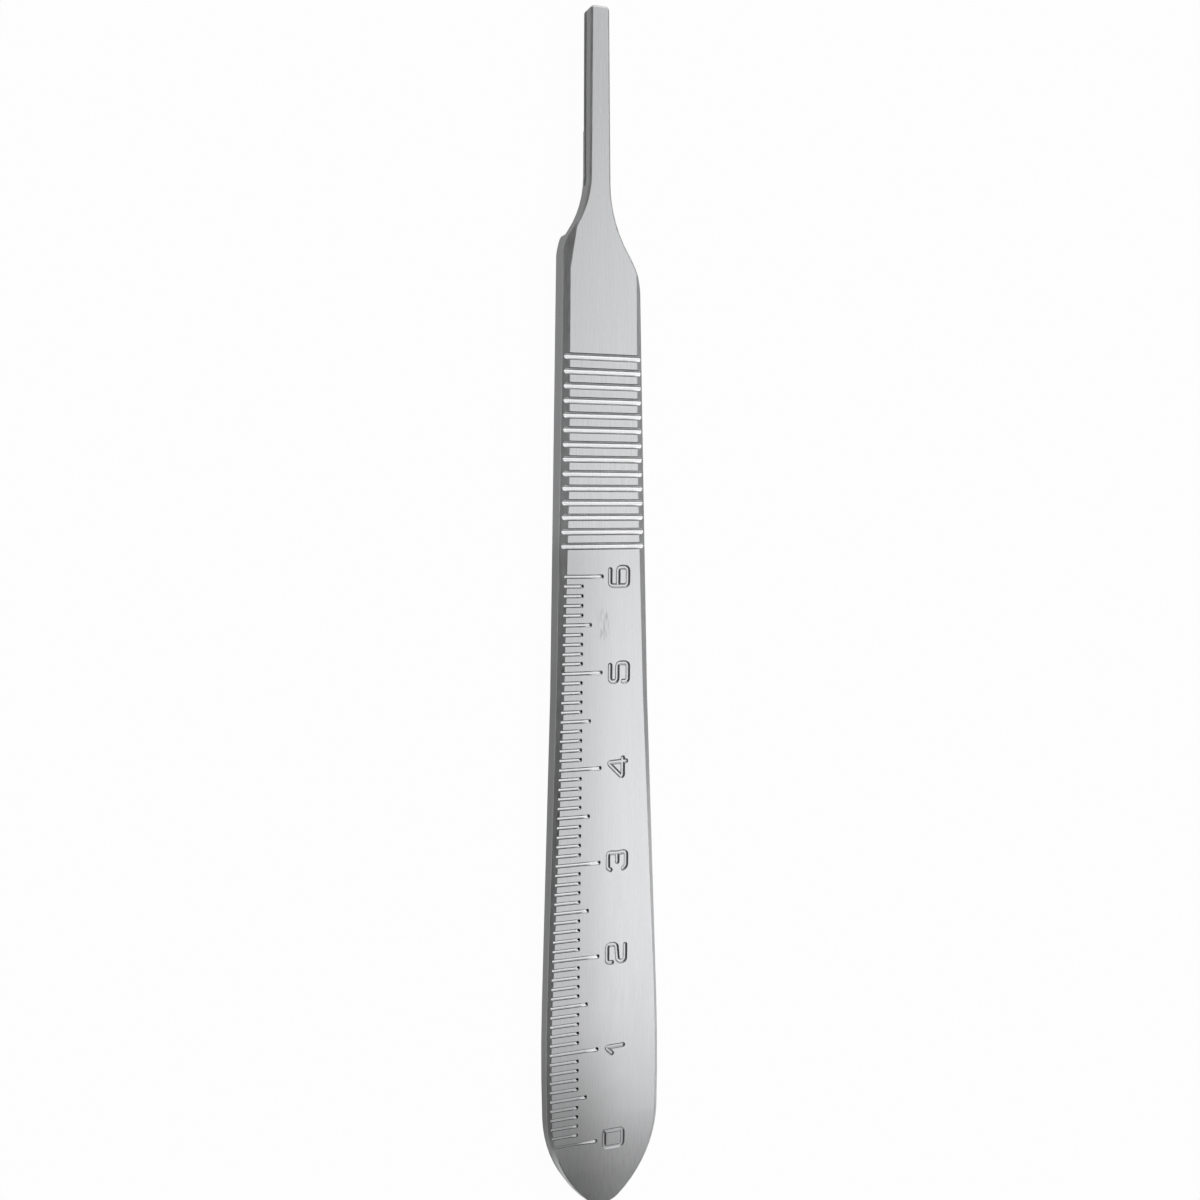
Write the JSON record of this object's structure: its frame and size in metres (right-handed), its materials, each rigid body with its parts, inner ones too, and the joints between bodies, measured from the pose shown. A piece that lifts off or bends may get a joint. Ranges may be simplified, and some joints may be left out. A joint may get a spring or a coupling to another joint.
{
  "type": "scalpel handle",
  "caption": "Flat steel scalpel handle with a ribbed grip, bevelled edges, an engraved centimetre ruler, a rounded tail and a narrow slotted fitting for a blade.",
  "frame": {"origin": "centre of the outer box on its lower side, on the back face that the handle lies on", "axes": "+Y along the handle towards the blade fitting, +Z out of the front face with the ruler, +X across it, to the right when the fitting points away"},
  "size_m": [0.0128, 0.1246, 0.0034],
  "materials": {
    "steel": "satin stainless steel, brushed lengthwise"
  },
  "bodies": {
    "root": {"handle": "steel"}
  },
  "joints": []
}
